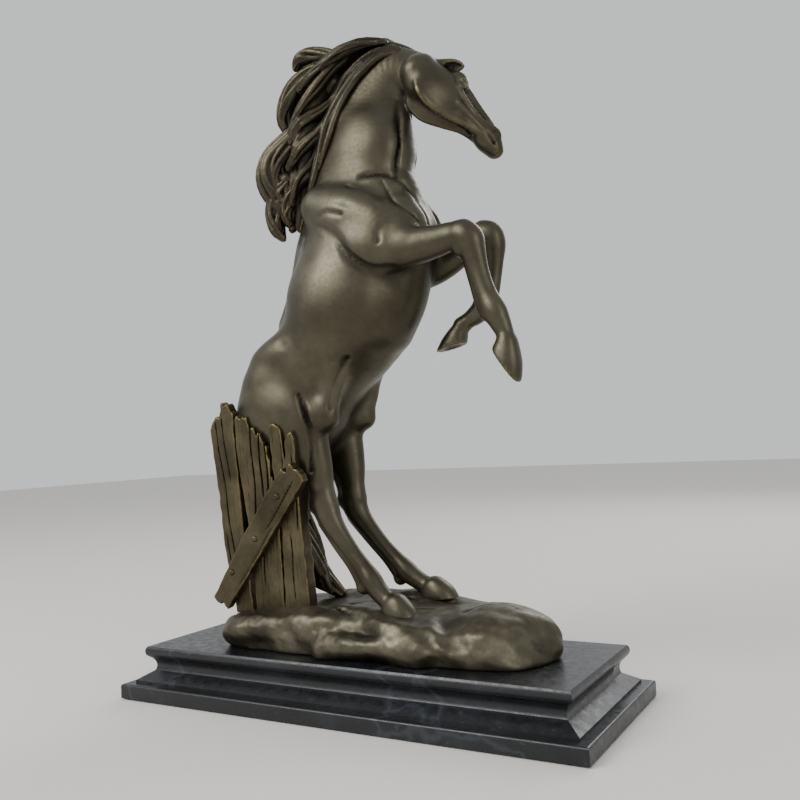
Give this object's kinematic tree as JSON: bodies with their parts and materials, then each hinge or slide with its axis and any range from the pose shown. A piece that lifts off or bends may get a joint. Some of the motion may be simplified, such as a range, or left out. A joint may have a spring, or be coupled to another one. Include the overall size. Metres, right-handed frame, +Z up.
{
  "type": "horse statue",
  "caption": "Rearing horse cast in patinated bronze beside a broken board fence, on a ground casting bolted to a moulded black marble base",
  "frame": {"origin": "centre of the marble base's footprint, on the surface that the statue stands on", "axes": "+X is the way the horse faces and runs along the base, +Y is the horse's left side, +Z is up"},
  "size_m": [0.35, 0.14, 0.4636],
  "materials": {
    "felt": "short dark wool felt glued under the marble",
    "black_marble": "polished black marble with faint grey veins, worn at the corners",
    "steel_hardware": "plain zinc-plated steel",
    "ground_bronze": "cast bronze with a mottled olive-brown patina, rubbed brassy on the folds",
    "horse_bronze": "smooth cast bronze with a waxed dark olive-brown patina",
    "hair_bronze": "cast bronze combed into strands, dark in the grooves and rubbed on the ridges",
    "fence_bronze": "cast bronze with wood-grain relief, dark in the grain and rubbed brassy on the edges"
  },
  "bodies": {
    "root": {"felt_sheet": "felt", "marble_plinth": "black_marble", "marble_moulded_tier": "black_marble", "mounting_studs": "steel_hardware", "mounting_washers": "steel_hardware", "mounting_nuts": "steel_hardware", "ground_casting": "ground_bronze", "torso_casting": "horse_bronze", "neck_casting": "horse_bronze", "head_casting": "horse_bronze", "mane_casting": "hair_bronze", "upper_mane_lock": "hair_bronze", "lower_mane_lock": "hair_bronze", "right_foreleg_casting": "horse_bronze", "left_foreleg_casting": "horse_bronze", "right_hind_leg_casting": "horse_bronze", "left_hind_leg_casting": "horse_bronze", "tail_casting": "hair_bronze", "left_fence_board": "fence_bronze", "middle_fence_board": "fence_bronze", "right_fence_post": "fence_bronze", "fence_brace": "fence_bronze", "brace_nails": "fence_bronze"}
  },
  "joints": []
}
